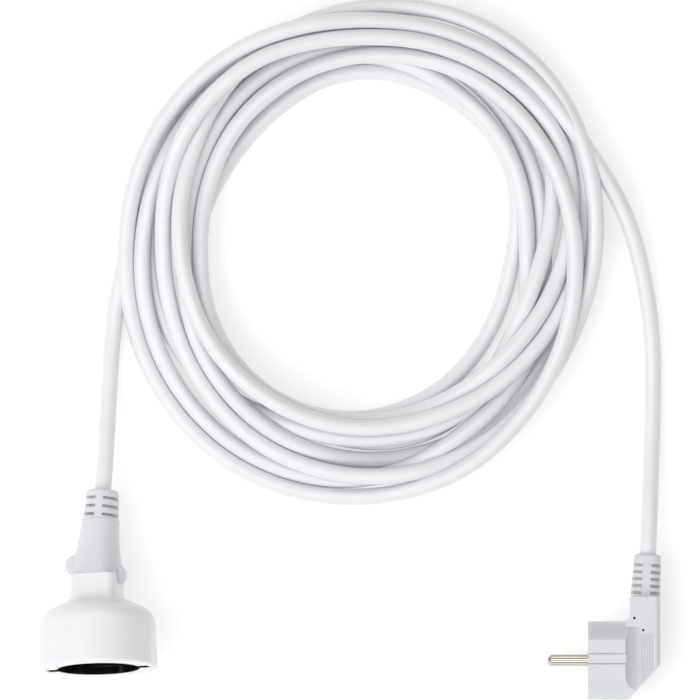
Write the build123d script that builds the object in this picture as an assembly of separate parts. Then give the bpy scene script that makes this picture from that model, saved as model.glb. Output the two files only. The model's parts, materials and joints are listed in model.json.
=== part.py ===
from build123d import *
import os
from math import cos, radians, sin, sqrt, tan

# White earthed extension lead, in millimetres, +Z up, standing on z = 0.
# The coupling lies at -X with its socket facing -Y, the angled plug lies near its flat at +X with
# its pins along -X, and the cord's loose coil lies behind them at +Y.
# Origin: middle of the plug and coupling together, seen from above, at floor level.

# ---- cord -------------------------------------------------------------------------------------
CORD_R = 3.9                    # three-core 1.5 mm2 flexible cord, 7.8 mm over the sheath
BORE_R = 3.95                   # where the cord enters a bend relief
CORE_R = 1.3                    # insulated core
CORE_OFFSET, EARTH_OFFSET = 1.7, 2.2    # where the cores sit in the stripped end of the cord
COIL_CENTRE = (6.3, 163.4)
COIL_OUTER_R = 117.0
COIL_INNER_R = 74.0
COIL_H = 28.0
COIL_EDGE_R = 6.0
ARC_SHARE = 0.45                # part of the shorter run that an arc may take up

PLUG_TAIL = [(139.0, -2.0, 15.2), (141.0, 31.0, 13.2), (142.0, 63.0, 7.0), (142.9, 94.0, 3.9),
             (142.6, 122.0, 3.9), (138.6, 150.0, 6.0), (130.9, 178.5, 11.5), (115.5, 204.5, 16.5),
             (100.5, 221.0, 17.5)]
COUPLING_TAIL = [(-118.1, 24.7, 20.8), (-115.4, 58.9, 15.4), (-113.8, 90.0, 8.2),
                 (-112.2, 118.0, 4.0), (-109.9, 143.0, 3.9), (-106.6, 164.0, 3.9)]

# ---- plug -------------------------------------------------------------------------------------
PLUG_FACE_X, PLUG_AXIS_Y = 112.1, -31.2
PLUG_R, PLUG_HALF_H = 18.5, 16.2    # round disc, flattened above and below
PLUG_ROLL = 3.4                 # the plug leans, its upper side towards +Y, on one edge of its flat
PLUG_FLAT_HALF = sqrt(PLUG_R ** 2 - PLUG_HALF_H ** 2)
PLUG_AXIS_Z = PLUG_HALF_H * cos(radians(PLUG_ROLL)) + PLUG_FLAT_HALF * sin(radians(PLUG_ROLL))
DISC_D = 17.6                   # depth of the round front disc
PLUG_D = 33.9                   # face to back
BACK_HALF_H = 10.7              # half thickness of the back body
SCOOP_START, SCOOP_END, SCOOP_R = 17.4, 25.0, 8.0
GROOVE_W, GROOVE_D = 5.3, 0.8
GROOVE_LINE_W, GROOVE_LINE_D = 0.5, 0.7  # finer line along each edge of the groove
PIN_R, PIN_LEN, PIN_HALF_PITCH = 2.4, 19.0, 9.5
PIN_SHANK_R, PIN_HOLE_R = 1.9, 1.92     # behind the face, where the bridge holds the pin
PIN_TIP_L, PIN_TIP_R = 1.6, 1.3
BRIDGE_R, BRIDGE_D = 14.2, 5.0
EARTH_HOLE_R, EARTH_HOLE_OFFSET = 2.55, -10.0
ARM_X0 = 19.9                   # cable arm, from the face plane
ARM_TOP_Y = 29.5                # from the pin axis
CHAMFER_X, CHAMFER_Y = 18.7, 16.4
PLUG_RELIEF_L = 20.4
RELIEF_ROOT, RELIEF_TIP = (13.8, 13.6), (12.6, 12.1)
PLUG_CLIP_R = 16.6              # inner face of the earth clips
FLARE_R = 2.4                   # where the arm grows out of the barrel
BACK_EDGE_R = 2.4
GRIP_X, GRIP_Y, GRIP_PITCH, GRIP_LINES = 25.4, (-16.5, 12.0), 1.2, 5   # fine grip grooves
GRIP_W, GRIP_D = 0.55, 0.45
LOCATING_HOLES = ((21.7, 19.4), (25.9, 13.7))
LOCATING_R = 0.6

# ---- coupling, along its own axis from the mouth (z = 0) to the cable end ----------------------
MOUTH = (-118.253, -35.1, 30.21)
YAW, PITCH, ROLL = 1.3, 9.0, 10.0
BELL_R, BELL_BACK_R, BELL_L = 28.0, 27.2, 21.0
FLAT_X = 26.6                   # side flats over the earth contacts
NECK_A, NECK_B, NECK_R = 11.0, 13.5, 4.0
NECK_END, SHOULDER_Z = 43.8, 28.7
NECK_BLEND = 4.0                # fillet where the neck grows out of the bell
RECESS_R, RECESS_D = 19.2, 17.5
LIP, LIP_R = 1.2, 19.75         # the shell's lip holds the insert in
INSERT_R, INSERT_FLOOR = 21.2, 2.0
INSERT_BACK = RECESS_D + INSERT_FLOOR
SOCKET_HOLE_R = 2.65
NOTCH_X, NOTCH_HALF = 24.6, 3.7
NOTCH_WALL = 0.9                # black liner round each earth clip
CHAMBER_R, CHAMBER_END = 15.0, 28.8
NECK_CAVE_A, NECK_CAVE_B = 7.5, 12.6
SHUTTER_R, SHUTTER_Z, SHUTTER_T = 12.4, 19.8, 1.4
WING_HALF = 2.9                 # half width of a shutter wing
BOSS_R, BOSS_L = 2.0, 3.4
STRAP_Z, STRAP_T, STRAP_HALF = 23.3, 0.8, 2.5
CARRIER_Z, CARRIER_T, CARRIER_R = 24.3, 4.2, 14.8
CONTACT_R, CONTACT_BORE, CONTACT_END = 2.9, 2.45, 37.0
PIVOT_Y = 10.04                 # the sleeve leaves the shell's axis here
SLEEVE_L = 39.125               # from that point to the cable end
LUG_R, LUG_W, LUG_EDGE_R = 5.2, 9.6, 1.8        # grip lugs beside the sleeve's root
LUG_PLACES = ((8.8, -0.3), (-9.5, 2.5))         # across and along the sleeve, from its pivot
COLLAR_HALF_W, COLLAR_HALF_H = 10.9, 13.4       # flats that trim the sleeve's round form
SHARE = 0.02                    # clearance between pieces of one housing
END_GAP = 0.5                   # between a core's square end and the face that it meets


def box(x0, x1, y0, y1, z0, z1):
    """Block between two corners."""
    return Pos((x0 + x1) / 2, (y0 + y1) / 2, (z0 + z1) / 2) * Box(x1 - x0, y1 - y0, z1 - z0)


def disc(radius, z0, z1, x=0.0, y=0.0):
    """Round bar along Z between two heights."""
    return Pos(x, y, (z0 + z1) / 2) * Cylinder(radius, z1 - z0)


def tube(outer, inner, z0, z1, x=0.0, y=0.0):
    """Hollow round bar along Z."""
    return disc(outer, z0, z1, x, y) - disc(inner, z0 - 1, z1 + 1, x, y)


def outline_face(plane, lines):
    """Face inside a closed outline drawn on a plane."""
    outline = lines[0]
    for line in lines[1:]:
        outline = outline + line
    return make_face(plane * outline)


def rounded_path(points):
    """Straight runs joined by the largest tangent arcs that they leave room for."""
    nodes = [Vector(*p) for p in points]
    radii = []
    for before, here, after in zip(nodes, nodes[1:], nodes[2:]):
        turn = (here - before).get_angle(after - here)
        shorter = min((here - before).length, (after - here).length)
        radii.append(ARC_SHARE * shorter / tan(radians(turn) / 2))
    return FilletPolyline(*nodes, radius=radii), radii


def swept_tube(points, radius, name):
    """Tube along a rounded path, with its radii and volume printed."""
    path, radii = rounded_path(points)
    start = Plane(origin=path @ 0, z_dir=path % 0)
    solid = sweep(start * Circle(radius), path=path)
    share = solid.volume / (path.length * Circle(radius).area)
    print(name, "length", round(path.length, 1), "tightest", round(min(radii), 1),
          "radii", [round(r) for r in radii], "volume share", round(share, 4))
    return solid


def frame_along(start, end, at=0.0, x_hint=(1, 0, 0)):
    """Plane whose Z runs from one point to the next, moved along it."""
    a, b = Vector(*start), Vector(*end)
    way = (b - a).normalized()
    side = (Vector(*x_hint) - way * way.dot(Vector(*x_hint))).normalized()
    return Plane(origin=a + way * at, x_dir=side, z_dir=way)


def relief_slots(rows, pitch, first, width, rib_half, side_half, core):
    """Rings cut round a bend relief, leaving ribs above and below and thinner ones at the sides."""
    reach = 12.0
    cut = None
    for row in range(rows):
        z = first + row * pitch
        ring = tube(reach, core, z - width / 2, z + width / 2)
        ring -= box(-rib_half, rib_half, -reach, reach, z - width, z + width)
        ring -= box(-reach, reach, -side_half, side_half, z - width, z + width)
        cut = ring if cut is None else cut + ring
    return cut


# ---- plug, built with its face at x = 0, pin axis at y = z = 0, then placed ---------------------
def along_x(shape):
    """Turn a shape made along +Z so that it runs along +X."""
    return Rot(0, 90, 0) * shape


def plug_profile():
    """Side outline in XZ: full height at the disc, a concave scoop, then the thin back."""
    top, back, edge = PLUG_HALF_H, BACK_HALF_H, BACK_EDGE_R
    lines = [Line((0, -top), (0, top)), Line((0, top), (SCOOP_START, top)),
             RadiusArc((SCOOP_START, top), (SCOOP_END, back), -SCOOP_R),
             Line((SCOOP_END, back), (PLUG_D - edge, back)),
             RadiusArc((PLUG_D - edge, back), (PLUG_D, back - edge), edge),
             Line((PLUG_D, back - edge), (PLUG_D, edge - back)),
             RadiusArc((PLUG_D, edge - back), (PLUG_D - edge, -back), edge),
             Line((PLUG_D - edge, -back), (SCOOP_END, -back)),
             RadiusArc((SCOOP_END, -back), (SCOOP_START, -top), -SCOOP_R),
             Line((SCOOP_START, -top), (0, -top))]
    return extrude(outline_face(Plane.XZ, lines), amount=60, both=True)


def plug_outer():
    """Whole outer form of the plug's moulding."""
    barrel = along_x(disc(PLUG_R, 0, PLUG_D))
    arm = box(ARM_X0, PLUG_D, 0, ARM_TOP_Y, -BACK_HALF_H, BACK_HALF_H)
    root = box(ARM_X0 - FLARE_R, ARM_X0 + 2, 0, PLUG_R + FLARE_R, -BACK_HALF_H, BACK_HALF_H)
    root -= Pos(ARM_X0 - FLARE_R, PLUG_R + FLARE_R, 0) * Cylinder(FLARE_R, 40)
    form = (barrel + arm + root) & plug_profile()
    low, slope = -PLUG_R - 0.1, CHAMFER_Y / (PLUG_D - CHAMFER_X)
    corner = Polyline((CHAMFER_X, low), (PLUG_D + 1, low), (PLUG_D + 1, low + slope * (PLUG_D + 1 - CHAMFER_X)),
                      (CHAMFER_X, low))
    form -= extrude(outline_face(Plane.XY, [corner]), amount=20, both=True)
    for side in (1, -1):
        floor = PLUG_HALF_H - GROOVE_D
        form -= box(-1, DISC_D + 6, -GROOVE_W / 2, GROOVE_W / 2, *sorted((side * floor, side * 20)))
        for edge in (GROOVE_LINE_W - GROOVE_W, GROOVE_W - GROOVE_LINE_W):
            form -= box(-1, DISC_D + 6, (edge - GROOVE_LINE_W) / 2, (edge + GROOVE_LINE_W) / 2,
                        *sorted((side * (floor - GROOVE_LINE_D), side * 20)))
        for line in range(GRIP_LINES):
            x, z = GRIP_X + line * GRIP_PITCH, side * BACK_HALF_H
            form -= box(x - GRIP_W / 2, x + GRIP_W / 2, *GRIP_Y, *sorted((z - side * GRIP_D, z + side * 5)))
    return form


def plug_seat():
    """Where the plug lies: middle of its face, with the roll."""
    return Pos(PLUG_FACE_X, PLUG_AXIS_Y, PLUG_AXIS_Z) * Rot(-PLUG_ROLL, 0, 0)


def place_plug(shape):
    return plug_seat() * shape


def plug_relief_frame():
    """Bend relief's own frame: root at the arm's end, running out along the cord."""
    back = -(PLUG_TAIL[0][1] - (PLUG_AXIS_Y + ARM_TOP_Y))
    return frame_along(PLUG_TAIL[0], PLUG_TAIL[1], at=back)


def make_plug_relief():
    """Tapered bend relief with five rows of slots."""
    root = plug_relief_frame()
    wide, narrow = RectangleRounded(*RELIEF_ROOT, 4.6), RectangleRounded(*RELIEF_TIP, 4.2)
    form = loft([wide, Pos(0, 0, PLUG_RELIEF_L) * narrow], ruled=True)
    form = fillet(form.faces().sort_by(Axis.Z)[-1].edges(), 1.6)
    form += extrude(wide, amount=-1.5)
    slots = relief_slots(5, 3.27, 1.9, 1.4, 2.0, 1.0, 4.9)
    bore = disc(BORE_R, -20, PLUG_RELIEF_L + 5)
    form = root.location * (form - slots - bore)
    return form - place_plug(plug_outer())


def make_plug_body():
    form = plug_outer()
    form -= along_x(disc(BRIDGE_R + SHARE, -1, BRIDGE_D + SHARE))
    form -= along_x(disc(13.6, BRIDGE_D, 17.0))
    form -= box(16.0, 22.0, -12.0, 14.0, -9.3, 9.3)
    form -= box(16.0, 30.0, -2.0, 16.0, -7.6, 7.6)
    form -= box(21.0, 31.0, 10.0, 24.0, -5.0, 5.0)
    for side in (1, -1):
        form -= box(-1, DISC_D - 0.6, *sorted((side * PLUG_CLIP_R, side * 20.0)), -3.2, 3.2)
        form -= box(6.4, 8.6, *sorted((side * 12.0, side * 17.0)), -2.7, 2.7)
    for x, y in LOCATING_HOLES:
        form -= disc(LOCATING_R, 4.0, 20.0, x, y)
    body = place_plug(form)
    return body - swept_line(PLUG_TAIL[0], PLUG_TAIL[1], -13.0, 3.0, BORE_R)


def swept_line(start, end, back, front, radius):
    """Round bar along a line through two points, from one distance to another."""
    return frame_along(start, end).location * disc(radius, back, front)


def make_plug_bridge():
    form = disc(BRIDGE_R, 0, BRIDGE_D)
    for side in (1, -1):
        form -= disc(PIN_HOLE_R, -1, BRIDGE_D + 1, x=side * PIN_HALF_PITCH)
    form -= disc(EARTH_HOLE_R, -1, BRIDGE_D + 1, y=EARTH_HOLE_OFFSET)
    return place_plug(along_x(form))


def make_pin(side):
    """Pin with a tapered tip, a thinner shank, a collar behind the bridge and a tail for its crimp."""
    tip = Pos(0, 0, -PIN_LEN + PIN_TIP_L / 2) * Cone(PIN_TIP_R, PIN_R, PIN_TIP_L)
    form = disc(PIN_R, -PIN_LEN + PIN_TIP_L, 0) + tip
    form += disc(PIN_SHANK_R, 0, BRIDGE_D + 1)
    form += disc(3.3, BRIDGE_D + SHARE, BRIDGE_D + 1.6)
    form += disc(1.2, BRIDGE_D + 1.6, BRIDGE_D + 6.0)
    form = fillet(form.faces().sort_by(Axis.Z)[0].edges(), 0.45)
    return place_plug(along_x(Pos(side * PIN_HALF_PITCH, 0, 0) * form))


def make_plug_clips():
    """Strap with a contact plate on each side of the disc, joined behind the bridge."""
    plate_out = PLUG_CLIP_R + 0.8
    form = box(7.0, 7.8, -plate_out, plate_out, -2.5, 2.5)
    form += along_x(disc(3.9, 7.0, 7.8, y=EARTH_HOLE_OFFSET))
    for side in (1, -1):
        plate = box(0.6, DISC_D - 1.2, *sorted((side * PLUG_CLIP_R, side * plate_out)), -3.0, 3.0)
        form += fillet(plate.edges().filter_by(Axis.Z), 0.3)
    form -= along_x(disc(EARTH_HOLE_R, 0, 12, y=EARTH_HOLE_OFFSET))
    return place_plug(form)


def make_earth_socket():
    form = tube(3.3, EARTH_HOLE_R, 7.8 + SHARE, 16.5, y=EARTH_HOLE_OFFSET)
    return place_plug(along_x(form))


def make_plug_crimps():
    """Three crimp sleeves: one on each pin's tail and one for the earth strap."""
    start, end = BRIDGE_D + 2.2, BRIDGE_D + 8.0
    form = tube(1.9, 1.22, start, end, x=PIN_HALF_PITCH)
    form += tube(1.9, 1.22, start, end, x=-PIN_HALF_PITCH)
    form += tube(1.9, 1.22, 7.8 + SHARE, 13.0, y=6.0)
    return place_plug(along_x(form))


def plug_point(x, y, z):
    return local_point(Plane(plug_seat()), x, y, z)


# ---- coupling, built along +Z from the mouth, then placed ---------------------------------------
def coupling_frame():
    """Mouth centre, with Z towards the cable end and X towards one earth contact."""
    way = Vector(-sin(radians(YAW)) * cos(radians(PITCH)), cos(radians(YAW)) * cos(radians(PITCH)),
                 -sin(radians(PITCH)))
    level = Vector(cos(radians(YAW)), sin(radians(YAW)), 0)
    up = level.cross(way)
    side = level * cos(radians(ROLL)) + up * sin(radians(ROLL))
    return Plane(origin=MOUTH, x_dir=side, z_dir=way)


def place_coupling(shape):
    return coupling_frame().location * shape


def shell_outer():
    """Bell, rounded shoulder and faceted neck."""
    lines = [Line((0, 0), (BELL_R - 1.0, 0)), RadiusArc((BELL_R - 1.0, 0), (BELL_R, 1.0), -1.0),
             Line((BELL_R, 1.0), (BELL_BACK_R, BELL_L)),
             ThreePointArc((BELL_BACK_R, BELL_L), (25.7, 25.3), (21.6, 28.6)),
             Line((21.6, 28.6), (9.0, 34.97)), Line((9.0, 34.97), (0, 34.97)), Line((0, 34.97), (0, 0))]
    bell = revolve(outline_face(Plane.XZ, lines), axis=Axis.Z)
    for side in (1, -1):
        bell -= box(*sorted((side * FLAT_X, side * 40)), -30, 30, -5, 40)
    neck = Pos(0, 0, 26) * extrude(RectangleRounded(2 * NECK_A, 2 * NECK_B, NECK_R), NECK_END - 26)
    form = bell + neck
    joint = [edge for edge in form.edges() if SHOULDER_Z < edge.center().Z < NECK_END - 5
             and edge.geom_type != GeomType.LINE]
    return fillet(joint, NECK_BLEND)


def make_shell():
    form = shell_outer()
    form -= disc(LIP_R + SHARE, -1, LIP + 0.5)
    form -= disc(INSERT_R + SHARE, LIP, INSERT_BACK + SHARE)
    form -= disc(CHAMBER_R, INSERT_BACK, CHAMBER_END)
    form -= box(-NOTCH_X, NOTCH_X, -NOTCH_HALF, NOTCH_HALF, -1, STRAP_Z + STRAP_T + 0.2)
    form -= box(-NECK_CAVE_A, NECK_CAVE_A, -NECK_CAVE_B, NECK_CAVE_B, CHAMBER_END - 1, NECK_END + 1)
    return place_coupling(form)


def make_insert():
    """Black socket cup with its recess, guide ribs, pin holes and a pivot boss behind."""
    form = disc(LIP_R, 0.1, LIP + 0.5) + disc(INSERT_R, LIP + SHARE, INSERT_BACK)
    liner_x, liner_y = NOTCH_X - SHARE, NOTCH_HALF - SHARE
    form += box(-liner_x, liner_x, -liner_y, liner_y, 0.1, INSERT_BACK)
    recess = disc(RECESS_R, -1, RECESS_D)
    for side in (1, -1):
        recess -= box(-20, 20, *sorted((side * 17.3, side * 21)), 4.0, RECESS_D)
        recess -= box(-2.3, 2.3, *sorted((side * 15.6, side * 18)), 6.0, RECESS_D)
    form -= recess
    for side in (1, -1):
        form -= box(*sorted((side * 17.2, side * (liner_x - NOTCH_WALL))), NOTCH_WALL - liner_y,
                    liner_y - NOTCH_WALL, -1, INSERT_BACK + 1)
        form -= disc(SOCKET_HOLE_R, RECESS_D - 1, INSERT_BACK + 1, y=side * PIN_HALF_PITCH)
        form += tube(SOCKET_HOLE_R + 1.3, SOCKET_HOLE_R, RECESS_D - 0.5, RECESS_D + 0.5,
                     y=side * PIN_HALF_PITCH)
    form += disc(BOSS_R, INSERT_BACK - 0.5, INSERT_BACK + BOSS_L)
    return place_coupling(form)


def make_shutter():
    """Turning plate with two wings that cover the pin holes."""
    z0, z1 = SHUTTER_Z, SHUTTER_Z + SHUTTER_T
    form = disc(SHUTTER_R, z0, z1) & (box(-WING_HALF, WING_HALF, -14, 14, z0, z1) + disc(5.5, z0, z1))
    form += box(5.0, 7.6, -1.6, 1.6, z0, z1)
    form -= disc(BOSS_R + 0.06, z0 - 1, z1 + 1)
    return place_coupling(form)


def make_shutter_spring():
    """Flat torsion spring round the boss, a stack of turns with one leg."""
    form = None
    for turn in range(3):
        loop = Pos(0, 0, 21.75 + 0.45 * turn) * Torus(2.75, 0.28)
        form = loop if form is None else form + loop
    leg = Pos(4.6, 2.75, 21.75) * Rot(0, 90, 0) * Cylinder(0.26, 9.0)
    return place_coupling(form + leg)


def make_earth_strap():
    """Bar behind the socket with a sprung clip up each side of the recess."""
    outer = NOTCH_X - NOTCH_WALL - 0.1
    form = box(-outer, outer, -STRAP_HALF, STRAP_HALF, STRAP_Z, STRAP_Z + STRAP_T)
    for side in (1, -1):
        clip = Polyline((outer, STRAP_Z + STRAP_T), (outer, 14.0), (19.2, 8.0), (outer, 1.2),
                        (outer - 0.9, 1.2), (18.0, 8.0), (outer - 0.9, 14.6),
                        (outer - 0.9, STRAP_Z + STRAP_T), (outer, STRAP_Z + STRAP_T))
        arm = extrude(outline_face(Plane.XZ, [clip]), amount=STRAP_HALF, both=True)
        form += arm if side > 0 else mirror(arm, about=Plane.YZ)
    return place_coupling(form)


def make_carrier():
    form = disc(CARRIER_R, CARRIER_Z, CARRIER_Z + CARRIER_T)
    for side in (1, -1):
        form -= disc(CONTACT_R + SHARE, CARRIER_Z - 1, CARRIER_Z + CARRIER_T + 1, y=side * PIN_HALF_PITCH)
    form -= disc(3.0, CARRIER_Z - 1, CARRIER_Z + CARRIER_T + 1)
    return place_coupling(form)


def make_contact(side):
    """Split contact sleeve that grips a plug pin."""
    y = side * PIN_HALF_PITCH
    form = tube(CONTACT_R, CONTACT_BORE, CARRIER_Z, CONTACT_END, y=y)
    form -= box(-0.4, 0.4, y - 4, y + 4, CARRIER_Z + 5, CONTACT_END - 3)
    form += disc(CONTACT_BORE + 0.2, CONTACT_END - 1.0, CONTACT_END, y=y)
    return place_coupling(form)


def make_coupling_crimps():
    """Three crimp sleeves behind the contacts and on the earth strap."""
    form = None
    for y, z in ((PIN_HALF_PITCH, CONTACT_END), (-PIN_HALF_PITCH, CONTACT_END), (0.0, STRAP_Z + STRAP_T)):
        sleeve = tube(1.9, 1.22, z + SHARE, z + (3.6 if y else 6.0), y=y)
        form = sleeve if form is None else form + sleeve
    return place_coupling(form)


def coupling_point(x, y, z):
    at = coupling_frame().from_local_coords(Vector(x, y, z))
    return (at.X, at.Y, at.Z)


def sleeve_frame():
    """Grip sleeve's own frame, along the cord's first run."""
    start, end = COUPLING_TAIL[0], COUPLING_TAIL[1]
    run = Vector(*end) - Vector(*start)
    back = (PIVOT_Y - start[1]) / run.Y * run.length
    flat = coupling_frame().x_dir
    return frame_along(start, end, at=back, x_hint=(flat.X, flat.Y, flat.Z))


def make_sleeve():
    """Soft collar with two grip lugs, a taper and a slotted bend relief."""
    tip = SLEEVE_L - 13.6
    lines = [Line((0, -6), (13.5, -6)), Line((13.5, -6), (13.3, -2.2)),
             ThreePointArc((13.3, -2.2), (10.6, 9.0), (8.9, tip - 0.6)),
             Line((8.9, tip - 0.6), (8.4, tip)), Line((8.4, tip), (7.6, SLEEVE_L - 1.2)),
             RadiusArc((7.6, SLEEVE_L - 1.2), (6.4, SLEEVE_L), -1.2),
             Line((6.4, SLEEVE_L), (0, SLEEVE_L)), Line((0, SLEEVE_L), (0, -6))]
    form = revolve(outline_face(Plane.XZ, lines), axis=Axis.Z)
    form &= box(-COLLAR_HALF_W, COLLAR_HALF_W, -COLLAR_HALF_H, COLLAR_HALF_H, -10, SLEEVE_L + 1)
    form -= relief_slots(3, 4.0, SLEEVE_L - 12.2, 1.45, 1.8, 0.8, 5.0)
    seat = coupling_frame()
    ahead = seat.location * box(-60, 60, -60, 60, -10, NECK_END)
    neck = place_coupling(shell_outer())
    root = sleeve_frame().location
    sleeve = root * form - ahead
    for across, along in LUG_PLACES:
        lug = Pos(across, 0, along) * Rot(90, 0, 0) * Cylinder(LUG_R, LUG_W)
        sleeve += root * fillet(lug.edges(), LUG_EDGE_R) - neck
    spigot = box(-7.3, 7.3, -12.4, 12.4, NECK_END - 3.0, NECK_END + 0.8)
    sleeve += seat.location * spigot
    cave = Pos(0, 0, 4) * Cone(11.4, 5.0, 24) & box(-6.2, 6.2, -12, 12, -8, 16)
    cave += disc(BORE_R, 15, SLEEVE_L + 5)
    wires = seat.location * box(-4.6, 4.6, -11.4, 11.4, NECK_END - 6, NECK_END + 1.5)
    return sleeve - root * cave - wires


# ---- cord -----------------------------------------------------------------------------------------
def make_coil():
    """Outer shape of the loose coil."""
    mid = (COIL_OUTER_R + COIL_INNER_R) / 2
    section = Pos(mid, COIL_H / 2) * RectangleRounded(COIL_OUTER_R - COIL_INNER_R, COIL_H, COIL_EDGE_R)
    return Pos(*COIL_CENTRE, 0) * revolve(Plane.XZ * section, axis=Axis.Z)


def local_point(plane, x, y, z):
    at = plane.from_local_coords(Vector(x, y, z))
    return (at.X, at.Y, at.Z)


def plug_relief_cord_end():
    """Gives a core's last point, just short of the cord's stripped end."""
    seat = frame_along(PLUG_TAIL[0], PLUG_TAIL[1])
    return lambda x, y: local_point(seat, x, y, -END_GAP)


def plug_cores():
    """Three insulated cores from the crimps to the stripped end of the cord."""
    end = plug_relief_cord_end()
    z, out = PIN_HALF_PITCH, BRIDGE_D + 8.0 + END_GAP
    cores = {}
    for name, side in (("live", 1), ("neutral", -1)):
        inner = [plug_point(out, 0, side * z), plug_point(17.5, 2.5, side * 7.4),
                 plug_point(22.5, 9.5, side * 4.2), plug_point(25.6, 19.5, side * 2.2)]
        cores["plug_wire_" + name] = inner + [end(0, -side * CORE_OFFSET)]
    cores["plug_wire_earth"] = [plug_point(13.0 + END_GAP, 6.0, 0), plug_point(18.0, 8.5, 0),
                                plug_point(22.5, 14.0, 0), plug_point(23.7, 21.5, 0),
                                end(-EARTH_OFFSET, 0)]
    return {name: swept_tube(points, CORE_R, name) for name, points in cores.items()}


def coupling_cores():
    """Three insulated cores from the crimps to the stripped end of the cord."""
    seat = sleeve_frame()
    end = COUPLING_TAIL[0][1]
    reach = (end - PIVOT_Y) / seat.z_dir.Y - END_GAP
    cores = {}
    for name, side in (("live", 1), ("neutral", -1)):
        cores["coupling_wire_" + name] = [
            coupling_point(0, side * PIN_HALF_PITCH, CONTACT_END + 3.6 + END_GAP),
            coupling_point(0, side * 7.7, CONTACT_END + 9.0),
            local_point(seat, 0, side * 4.2, 8.0), local_point(seat, 0, side * CORE_OFFSET, reach)]
    cores["coupling_wire_earth"] = [coupling_point(0, 0, STRAP_Z + STRAP_T + 6.0 + END_GAP),
                                    coupling_point(0.6, 0, 37.0), local_point(seat, 1.2, 0, 4.0),
                                    local_point(seat, EARTH_OFFSET, 0, reach)]
    return {name: swept_tube(points, CORE_R, name) for name, points in cores.items()}


def build():
    """Every node by name."""
    parts = {
        "plug_body": make_plug_body(),
        "plug_strain_relief": make_plug_relief(),
        "plug_pin_bridge": make_plug_bridge(),
        "plug_pin_live": make_pin(1),
        "plug_pin_neutral": make_pin(-1),
        "plug_earth_clips": make_plug_clips(),
        "plug_earth_socket": make_earth_socket(),
        "plug_crimps": make_plug_crimps(),
        "coupling_shell": make_shell(),
        "coupling_grip_sleeve": make_sleeve(),
        "coupling_socket_insert": make_insert(),
        "coupling_contact_carrier": make_carrier(),
        "coupling_shutter": make_shutter(),
        "coupling_shutter_spring": make_shutter_spring(),
        "coupling_contact_live": make_contact(1),
        "coupling_contact_neutral": make_contact(-1),
        "coupling_earth_strap": make_earth_strap(),
        "coupling_crimps": make_coupling_crimps(),
        "cord_coil": make_coil(),
        "cord_plug_tail": swept_tube(PLUG_TAIL, CORD_R, "cord_plug_tail"),
        "cord_coupling_tail": swept_tube(COUPLING_TAIL, CORD_R, "cord_coupling_tail"),
    }
    parts.update(plug_cores())
    parts.update(coupling_cores())
    return parts


os.makedirs("parts", exist_ok=True)
for node, solid in build().items():
    export_step(solid, "parts/" + node + ".step")
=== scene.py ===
import json
import bpy
import numpy as np
from math import cos, pi
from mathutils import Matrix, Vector


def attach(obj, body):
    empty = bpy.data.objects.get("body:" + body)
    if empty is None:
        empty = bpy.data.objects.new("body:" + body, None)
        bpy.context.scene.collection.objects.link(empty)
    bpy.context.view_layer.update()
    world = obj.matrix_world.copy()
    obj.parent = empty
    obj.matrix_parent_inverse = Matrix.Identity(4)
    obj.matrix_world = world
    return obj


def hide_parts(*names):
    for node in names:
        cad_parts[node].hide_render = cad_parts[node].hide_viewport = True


# A white earthed extension lead on a pale floor. The plug and coupling come from the CAD frame;
# the cord is built here, as one tube from the plug through its loose coil to the coupling.

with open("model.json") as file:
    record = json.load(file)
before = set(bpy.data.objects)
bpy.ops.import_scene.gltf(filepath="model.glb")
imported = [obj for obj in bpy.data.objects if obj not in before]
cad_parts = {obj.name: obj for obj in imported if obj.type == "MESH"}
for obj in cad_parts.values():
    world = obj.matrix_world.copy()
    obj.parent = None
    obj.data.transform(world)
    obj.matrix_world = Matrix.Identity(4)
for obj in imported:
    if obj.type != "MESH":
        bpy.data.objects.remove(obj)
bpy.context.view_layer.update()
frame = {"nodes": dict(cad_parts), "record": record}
MM = 0.001

# ---- cord: facts ------------------------------------------------------------------------------
CORD_D = 7.8                     # mm over the sheath

# The two uncoiled ends, in millimetres, as the CAD model has them.
PLUG_TAIL = [(139.0, -2.0, 15.2), (141.0, 31.0, 13.2), (142.0, 63.0, 7.0), (142.9, 94.0, 3.9),
             (142.6, 122.0, 3.9), (138.6, 150.0, 6.0), (130.9, 178.5, 11.5), (115.5, 204.5, 16.5)]
COUPLING_TAIL = [(-118.1, 24.7, 20.8), (-115.4, 58.9, 15.4), (-113.8, 90.0, 8.2),
                 (-112.2, 118.0, 4.0), (-109.9, 143.0, 3.9)]

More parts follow.
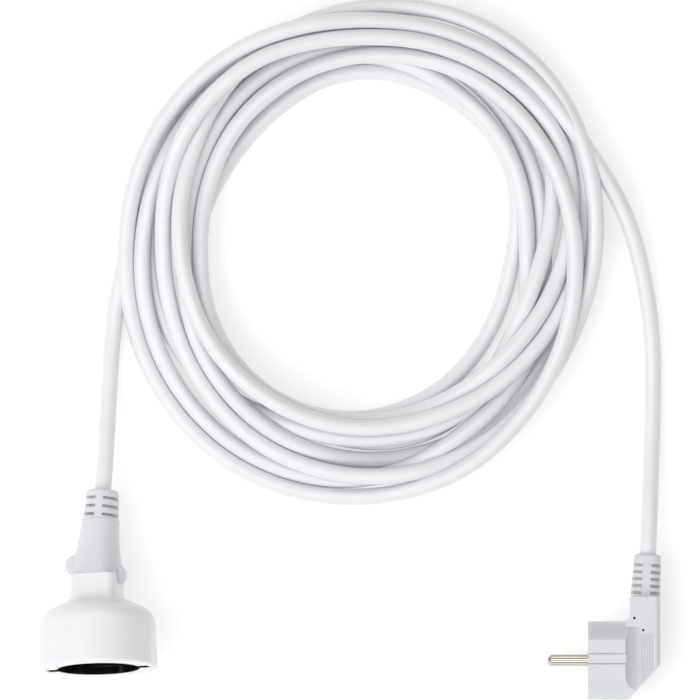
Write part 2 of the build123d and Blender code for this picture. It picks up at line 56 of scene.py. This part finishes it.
# The coil lies round this point. Each row is one turn, from the plug's end of the cord to the
# coupling's, and holds the turn's radius in mm at each hour, counterclockwise from +X.
WINDING_CENTRE = (3.3, 159.7)
HOURS = 12
HOUR = 360 / HOURS               # degrees from one radius to the next
TURNS = [
    (125.0, 117.7, 112.3, 109.9, 111.3, 110.8, 107.1, 109.9, 112.7, 111.8, 109.9, 106.1),
    (102.4, 101.7, 99.5, 93.9, 86.8, 79.7, 75.7, 76.2, 77.8, 78.5, 80.2, 86.3),
    (98.1, 111.6, 108.5, 102.1, 102.8, 96.5, 90.6, 92.9, 99.1, 104.2, 107.1, 106.6),
    (110.6, 118.9, 122.4, 115.6, 104.2, 91.5, 82.5, 80.2, 79.5, 81.4, 84.9, 93.4),
    (105.7, 116.0, 112.3, 107.1, 104.2, 101.4, 101.7, 105.2, 108.0, 107.1, 97.2, 92.0),
    (87.0, 92.9, 98.6, 97.2, 94.8, 85.8, 80.2, 85.4, 90.6, 96.5, 99.5, 100.5),
    (107.5, 112.3, 109.4, 104.7, 100.5, 98.1, 96.7, 94.8, 87.3, 86.6, 89.4, 86.8),
    (79.7, 85.1, 90.1, 93.9, 89.6, 83.0, 78.3, 77.8, 78.3, 77.4, 74.5, 71.7),
    (73.1, 83.7, 86.8, 87.7, 78.3, 74.3, 76.9, 77.4, 80.5, 88.0, 90.0, 82.0),
    (87.3, 103.8, 104.7, 105.7, 107.1, 109.0, 111.3, 115.0),
]
# Which turn lies over which where they cross: the higher number is on top. The second turn
# dips under the third and fourth in the last half of its round.
RANKS = [10, 9, 8, 7, 5, 4, 3, 2, 1, 6]
RANK_DIPS = {(1, hour): 6.4 for hour in range(6, 11)}
RANK_DIPS[1, 11] = 6.6

COIL_START = 42.0                # degrees along the winding
COIL_END = 9 * 360 + 160.0
SAMPLE_STEP = 2.5                # degrees between samples of the settling coil
NEXT_STRAND = 24                 # samples; nearer ones belong to the same strand
POINTS_PER_TURN = 24             # control points of the finished coil

# ---- cord: how the coil settles ---------------------------------------------------------------
# Distances between strands are in cord diameters, and reaches are in samples to each side.
STACKED = 0.75                   # nearer strands start out one above the other
MAY_TOUCH = 1.5                  # nearer strands can push each other
RIDES_OVER = 0.8                 # nearer strands lie over each other, others side by side
SETTLE_STEPS = 700
FALLING_SHARE = 0.9              # of the steps; in the rest the coil only relaxes
FALL = 0.14                      # mm per step
STIFFNESS = 0.35                 # how far each step evens out the heights
HOLD = 0.97                      # how much of a sideways slip stays
UPPER_MOVES, LOWER_MOVES = 0.6, 0.4
PUSH_GAIN = 1.3
HEIGHT_REACH, BEND_REACH, SLIP_REACH = 4, 5, 2
END_BLEND = 10.0                 # samples over which the coil's ends meet the tails
START_LIFT = 0.6                 # mm from the plug tail's last point up to the coil's start


def hermite(values, at):
    """Smooth curve through evenly spaced values, read at any place along them."""
    values = np.asarray(values, float)
    k = np.clip(np.floor(at).astype(int), 1, len(values) - 3)
    t = at - k
    a, b, c, d = values[k - 1], values[k], values[k + 1], values[k + 2]
    return b + 0.5 * t * (c - a + t * (2 * a - 5 * b + 4 * c - d + t * (3 * (b - c) + d - a)))


def smoothed(values, reach):
    """Moving average along the cord, holding both ends."""
    padded = np.pad(values, [(reach, reach)] + [(0, 0)] * (values.ndim - 1), mode="edge")
    return sum(padded[i:i + len(values)] for i in range(2 * reach + 1)) / (2 * reach + 1)


def stacked_heights(radius, rank, angle):
    """First guess: at each place round the coil the lower ranks lie below the others."""
    height = np.full(len(radius), CORD_D / 2)
    places = int(360 / SAMPLE_STEP)
    slot = np.round(angle / SAMPLE_STEP).astype(int) % places
    for here in range(places):
        members = np.flatnonzero(slot == here)
        members = members[np.argsort(rank[members])]
        for n, i in enumerate(members):
            for j in members[:n]:
                apart = abs(radius[i] - radius[j])
                if apart < STACKED * CORD_D:
                    height[i] = max(height[i], height[j] + np.sqrt(CORD_D ** 2 - apart ** 2))
    return height


def winding():
    """Angle, radius and rank of each sample along the coil."""
    angle = np.arange(COIL_START, COIL_END + 0.1, SAMPLE_STEP)
    radius = hermite([r for turn in TURNS for r in turn], angle / HOUR)
    ranks = [RANK_DIPS.get((t, h), RANKS[t]) for t in range(len(TURNS)) for h in range(HOURS)]
    rank = np.interp(angle / HOUR, np.arange(len(ranks)), ranks)
    return angle, radius, rank


def touching_pairs(plan, rank):
    """Samples of different strands that can touch, as upper and lower."""
    flat = np.linalg.norm(plan[:, None] - plan[None], axis=2)
    first, second = np.nonzero(np.triu(flat < MAY_TOUCH * CORD_D, NEXT_STRAND))
    upper = np.where(rank[first] >= rank[second], first, second)
    lower = np.where(rank[first] >= rank[second], second, first)
    return upper, lower


def moves_apart(spot, upper, lower):
    """Moves against overlap: up where strands cross, sideways where they lie side by side."""
    gap = spot[upper] - spot[lower]
    level = np.linalg.norm(gap[:, :2], axis=1)
    over = level < RIDES_OVER * CORD_D
    need = np.sqrt(np.clip(CORD_D ** 2 - level ** 2, 0, None))
    rise = np.where(over, np.clip(need - gap[:, 2], 0, None), 0.0)
    full = np.linalg.norm(gap, axis=1).clip(1e-6)
    side = np.where(over, 0.0, np.clip(CORD_D - full, 0, None))
    push = gap / full[:, None] * side[:, None]
    push[:, 2] += rise
    shift = np.zeros_like(spot)
    np.add.at(shift, upper, UPPER_MOVES * push)
    np.add.at(shift, lower, -LOWER_MOVES * push)
    touched = (rise > 0) | (side > 0)
    hits = np.zeros(len(spot))
    np.add.at(hits, upper[touched], 1.0)
    np.add.at(hits, lower[touched], 1.0)
    return shift / hits.clip(1)[:, None] * PUSH_GAIN


def settled_coil():
    """The coil's centreline in mm: planned from above, then left to settle under gravity."""
    angle, radius, rank = winding()
    turn = np.radians(angle)
    plan = np.array(WINDING_CENTRE) + radius[:, None] * np.stack([np.cos(turn), np.sin(turn)], 1)
    height = smoothed(stacked_heights(radius, rank, angle), HEIGHT_REACH)
    upper, lower = touching_pairs(plan, rank)
    start, end = PLUG_TAIL[-1][2] + START_LIFT, CORD_D / 2
    spot = np.column_stack([plan, height])
    blend = np.clip(np.arange(len(spot)) / END_BLEND, 0, 1)
    for step in range(SETTLE_STEPS):
        spot[:, 2] -= FALL if step < FALLING_SHARE * SETTLE_STEPS else 0.0
        spot[:, 2] += STIFFNESS * (smoothed(spot[:, 2], BEND_REACH) - spot[:, 2])
        slip = spot[:, :2] - plan
        spot[:, :2] = plan + HOLD * smoothed(slip, SLIP_REACH)
        spot += moves_apart(spot, upper, lower)
        spot[:, 2] = np.maximum(spot[:, 2], CORD_D / 2)
        spot[:, 2] = start + (spot[:, 2] - start) * blend
        spot[:, 2] = end + (spot[:, 2] - end) * blend[::-1]
    return angle, spot


def cord_route():
    """Control points of the whole cord, in metres."""
    angle, spot = settled_coil()
    stations = np.arange(COIL_START, COIL_END + 0.1, 360 / POINTS_PER_TURN)
    coil = np.column_stack([np.interp(stations, angle, spot[:, k]) for k in range(3)])
    middle = np.array(WINDING_CENTRE)
    coil[:, :2] = middle + (coil[:, :2] - middle) / cos(pi / POINTS_PER_TURN)
    return np.vstack([PLUG_TAIL, coil, COUPLING_TAIL[::-1]]) * MM


def make_cord():
    """The whole cord as one smooth tube."""
    data = bpy.data.curves.new("cord", "CURVE")
    data.dimensions = "3D"
    data.bevel_depth = 1.0           # the points' own radius sets the tube's
    data.bevel_resolution = 6
    data.resolution_u = 8
    data.use_fill_caps = True
    spline = data.splines.new("NURBS")
    points = cord_route()
    spline.points.add(len(points) - 1)
    for point, at in zip(spline.points, points):
        point.co = (*at, 1.0)
        point.radius = CORD_D / 2 * MM
    spline.order_u = 3
    spline.use_endpoint_u = True
    cord = bpy.data.objects.new("cord", data)
    bpy.context.scene.collection.objects.link(cord)
    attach(cord, "lead")
    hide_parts("cord_coil", "cord_plug_tail", "cord_coupling_tail")
    return cord


# ---- materials --------------------------------------------------------------------------------
DRIFT_SCALE = 35.0               # slow change of tone over a moulding
DRIFT_DARK, DRIFT_LIGHT = 0.985, 1.012
TONE_FROM, TONE_TO = 0.35, 0.65  # where the noise goes from one tone to the other
GLOSS, GLOSS_ROUGH = 0.15, 0.2   # thin clear skin on the white mouldings
GLOW_DEPTH = 0.0015              # metres that light travels inside the white PVC
GLOW_WEIGHT, GLOW_COLOUR = 0.08, (1.0, 0.95, 0.9)
GRAIN_DEPTH, MARKS_DEPTH = 0.0001, 0.00005      # metres of relief
MARKS_SCALE = 500.0
DULL_SCALE, DULL_ROUGH = 700.0, (0.38, 0.55)
ALONG_X = (0.08, 1, 1)           # draws the marks out along X, as on a turned pin
GREYER_PIECES = ("plug_body", "plug_strain_relief", "plug_pin_bridge")


def new_material(name, colour, roughness, metallic=0.0, coat=0.0, specular=0.5):
    """Principled material with plain base values; returns it with its tree and shader."""
    material = bpy.data.materials.new(name)
    material.use_nodes = True
    tree = material.node_tree
    shader = tree.nodes["Principled BSDF"]
    shader.inputs["Base Color"].default_value = (*colour, 1.0)
    shader.inputs["Roughness"].default_value = roughness
    shader.inputs["Metallic"].default_value = metallic
    shader.inputs["Coat Weight"].default_value = coat
    shader.inputs["Specular IOR Level"].default_value = specular
    return material, tree, shader


def scaled(colour, share):
    """The colour made lighter or darker, within range."""
    return tuple(min(1, c * share) for c in colour)


def add_noise(tree, scale, detail=3.0, stretch=(1, 1, 1)):
    """Object-space noise texture."""
    where = tree.nodes.new("ShaderNodeTexCoord")
    mapping = tree.nodes.new("ShaderNodeMapping")
    mapping.inputs["Scale"].default_value = stretch
    noise = tree.nodes.new("ShaderNodeTexNoise")
    noise.inputs["Scale"].default_value = scale
    noise.inputs["Detail"].default_value = detail
    tree.links.new(where.outputs["Object"], mapping.inputs["Vector"])
    tree.links.new(mapping.outputs["Vector"], noise.inputs["Vector"])
    return noise


def vary_roughness(tree, shader, noise, low, high):
    """Roughness that wanders between two values."""
    spread = tree.nodes.new("ShaderNodeMapRange")
    spread.inputs["To Min"].default_value = low
    spread.inputs["To Max"].default_value = high
    tree.links.new(noise.outputs["Fac"], spread.inputs["Value"])
    tree.links.new(spread.outputs["Result"], shader.inputs["Roughness"])


def two_tone_ramp(tree, places, first, second):
    """Colour ramp from one tone to another between two places."""
    ramp = tree.nodes.new("ShaderNodeValToRGB")
    for element, place, tone in zip(ramp.color_ramp.elements, places, (first, second)):
        element.position = place
        element.color = (*tone, 1.0)
    return ramp


def vary_colour(tree, shader, noise, first, second):
    """Colour that wanders between two tones."""
    ramp = two_tone_ramp(tree, (TONE_FROM, TONE_TO), first, second)
    tree.links.new(noise.outputs["Fac"], ramp.inputs["Fac"])
    tree.links.new(ramp.outputs["Color"], shader.inputs["Base Color"])


def add_bump(tree, shader, noise, strength, depth):
    """Fine relief from a noise texture."""
    bump = tree.nodes.new("ShaderNodeBump")
    bump.inputs["Strength"].default_value = strength
    bump.inputs["Distance"].default_value = depth
    tree.links.new(noise.outputs["Fac"], bump.inputs["Height"])
    tree.links.new(bump.outputs["Normal"], shader.inputs["Normal"])


def white_plastic(name, colour, rough, grain_scale, grain):
    """Moulded white PVC: faint tone drift, fine surface grain, soft gloss."""
    material, tree, shader = new_material(name, colour, sum(rough) / 2, coat=GLOSS)
    shader.inputs["Coat Roughness"].default_value = GLOSS_ROUGH
    shader.inputs["Subsurface Weight"].default_value = GLOW_WEIGHT
    shader.inputs["Subsurface Radius"].default_value = GLOW_COLOUR
    shader.inputs["Subsurface Scale"].default_value = GLOW_DEPTH
    drift = add_noise(tree, DRIFT_SCALE)
    vary_colour(tree, shader, drift, scaled(colour, DRIFT_DARK), scaled(colour, DRIFT_LIGHT))
    fine = add_noise(tree, grain_scale, detail=4.0)
    vary_roughness(tree, shader, fine, *rough)
    add_bump(tree, shader, fine, grain, GRAIN_DEPTH)
    return material


def black_plastic(name, colour, rough, grain_scale, grain):
    """Moulded black plastic with a dull gloss."""
    material, tree, shader = new_material(name, colour, sum(rough) / 2, coat=0.1, specular=0.3)
    fine = add_noise(tree, grain_scale)
    vary_roughness(tree, shader, fine, *rough)
    add_bump(tree, shader, fine, grain, GRAIN_DEPTH)
    return material


def metal(name, colour, rough, stretch=(1, 1, 1), marks_strength=0.04):
    """Plated or drawn metal with fine marks."""
    material, tree, shader = new_material(name, colour, sum(rough) / 2, metallic=1.0)
    marks = add_noise(tree, MARKS_SCALE, detail=5.0, stretch=stretch)
    vary_roughness(tree, shader, marks, *rough)
    vary_colour(tree, shader, marks, scaled(colour, 0.93), colour)
    add_bump(tree, shader, marks, marks_strength, MARKS_DEPTH)
    return material


def dull_plastic(name, colour):
    """Matt plastic of the pieces inside."""
    material, tree, shader = new_material(name, colour, sum(DULL_ROUGH) / 2)
    fine = add_noise(tree, DULL_SCALE)
    vary_roughness(tree, shader, fine, *DULL_ROUGH)
    vary_colour(tree, shader, fine, scaled(colour, 0.9), colour)
    return material


# slot: how it is made, linear colour, and for most the roughness range, grain scale and grain
MATERIALS = {
    "white_shell": (white_plastic, (0.79, 0.79, 0.81), (0.30, 0.34), 500.0, 0.02),
    "white_soft": (white_plastic, (0.68, 0.675, 0.71), (0.34, 0.42), 700.0, 0.05),
    "white_plug": (white_plastic, (0.635, 0.63, 0.66), (0.30, 0.36), 500.0, 0.03),
    "cord_sheath": (white_plastic, (0.76, 0.76, 0.78), (0.26, 0.38), 700.0, 0.08),
    "black_insert": (black_plastic, (0.004, 0.004, 0.005), (0.14, 0.26), 900.0, 0.05),
    "ivory_insulator": (dull_plastic, (0.70, 0.66, 0.56)),
    "nickel": (metal, (0.62, 0.585, 0.52), (0.08, 0.14), ALONG_X, 0.004),
    "brass": (metal, (0.78, 0.60, 0.30), (0.22, 0.36)),
    "tinned_copper": (metal, (0.72, 0.70, 0.68), (0.25, 0.4)),
    "spring_steel": (metal, (0.56, 0.56, 0.58), (0.2, 0.32)),
    "shutter_grey": (dull_plastic, (0.30, 0.30, 0.31)),
    "core_brown": (dull_plastic, (0.20, 0.08, 0.035)),
    "core_blue": (dull_plastic, (0.03, 0.15, 0.55)),
    "core_earth": (dull_plastic, (0.30, 0.55, 0.07)),
}


def dress(cord):
    """Make the materials and give each piece the one of its slot."""
    materials = {name: make(name, *facts) for name, (make, *facts) in MATERIALS.items()}
    slots = {part["node"]: part["material_slot"] for part in frame["record"]["subparts"]}
    slots.update({name: "white_plug" for name in GREYER_PIECES})
    for name, node in frame["nodes"].items():
        node.data.materials.clear()
        node.data.materials.append(materials[slots[name]])
    cord.data.materials.append(materials["cord_sheath"])


# ---- stage ------------------------------------------------------------------------------------
CAMERA_H = 10.0                  # metres above the floor
PICTURE_W = 0.3302               # metres of floor across the picture
CAMERA_XY = (0.0, 0.1149)
SENSOR = 36.0
FLOOR_SIZE = 6.0                 # metres
FLOOR_TONE, FLOOR_ROUGH = 0.72, 0.9
FLOOR_GLOW = 0.36                # keeps the ground white close to the object
WORLD_STRENGTH = 0.55
STAGE_AIM = (0, 0.12, 0)         # near the middle of the object

# name, place and aim in metres, size in metres, power in watts
LIGHTS = [
    ("key", (-1.5, -0.7, 1.9), STAGE_AIM, (1.8, 1.8), 22.0),
    ("front", (0.1, -1.6, 1.7), STAGE_AIM, (1.8, 0.9), 9.0),
    ("front_left", (-0.75, 0.2, 2.6), STAGE_AIM, (0.9, 2.4), 14.0),
    ("front_right", (0.75, 0.2, 2.6), STAGE_AIM, (0.9, 2.4), 6.0),
    ("edge", (1.7, -0.1, 0.7), (0, 0.05, 0), (0.5, 1.2), 2.5),
    ("strip", (0.1, 1.7, 1.3), (0.1, 0.0, 0), (1.4, 0.3), 6.5),
]
# Parts of the studio that are darker: direction, where the fall starts and ends as the cosine
# of the angle from it, and the share of light that is left.
DIM_SIDE = ((0.76, 0.62, 0.2), 0.45, 0.80, 0.3)
DARK_OPENING = ((0.0, 0.33, 0.94), 0.955, 0.968, 0.03)


def make_camera():
    """Nearly parallel view, straight down."""
    data = bpy.data.cameras.new("camera")
    data.sensor_width = SENSOR
    data.lens = SENSOR * CAMERA_H / PICTURE_W
    data.clip_end = 10 * CAMERA_H
    camera = bpy.data.objects.new("camera", data)
    camera.location = (*CAMERA_XY, CAMERA_H)
    bpy.context.scene.collection.objects.link(camera)
    bpy.context.scene.camera = camera


def make_floor():
    """Plain pale floor with a slight glow of its own."""
    bpy.ops.mesh.primitive_plane_add(size=FLOOR_SIZE, location=(0, 0, 0))
    floor = bpy.context.object
    floor.name = "floor"
    material, _, shader = new_material("floor", (FLOOR_TONE,) * 3, FLOOR_ROUGH)
    shader.inputs["Emission Color"].default_value = (1.0, 1.0, 1.0, 1.0)
    shader.inputs["Emission Strength"].default_value = FLOOR_GLOW
    floor.data.materials.append(material)


def area_light(name, at, aim, size, power):
    """Rectangular white light that faces a point."""
    data = bpy.data.lights.new(name, "AREA")
    data.shape = "RECTANGLE"
    data.size, data.size_y = size
    data.energy = power
    light = bpy.data.objects.new(name, data)
    light.location = at
    light.rotation_euler = (Vector(aim) - Vector(at)).to_track_quat("-Z", "Y").to_euler()
    bpy.context.scene.collection.objects.link(light)


def patch_of_sky(tree, aim, start, end, share):
    """Grey factor that falls from 1 to share as a direction nears the aim."""
    where = tree.nodes.new("ShaderNodeTexCoord")
    nearness = tree.nodes.new("ShaderNodeVectorMath")
    nearness.operation = "DOT_PRODUCT"
    nearness.inputs[1].default_value = Vector(aim).normalized()
    ramp = two_tone_ramp(tree, (start, end), (1.0,) * 3, (share,) * 3)
    tree.links.new(where.outputs["Generated"], nearness.inputs[0])
    tree.links.new(nearness.outputs["Value"], ramp.inputs["Fac"])
    return ramp


def make_world():
    """White studio tent: darker low down towards +X and +Y, with a dark opening overhead."""
    world = bpy.data.worlds.new("studio")
    bpy.context.scene.world = world
    world.use_nodes = True
    tree = world.node_tree
    side = patch_of_sky(tree, *DIM_SIDE)
    opening = patch_of_sky(tree, *DARK_OPENING)
    both = tree.nodes.new("ShaderNodeMix")
    both.data_type, both.blend_type = "RGBA", "MULTIPLY"
    both.inputs[0].default_value = 1.0
    back = tree.nodes["Background"]
    back.inputs["Strength"].default_value = WORLD_STRENGTH
    tree.links.new(side.outputs["Color"], both.inputs[6])
    tree.links.new(opening.outputs["Color"], both.inputs[7])
    tree.links.new(both.outputs[2], back.inputs["Color"])


def settle_view():
    """Plain colours, without a film look."""
    view = bpy.context.scene.view_settings
    view.view_transform = "Standard"
    view.look = "None"


make_camera()
dress(make_cord())
make_floor()
make_world()
for light in LIGHTS:
    area_light(*light)
settle_view()
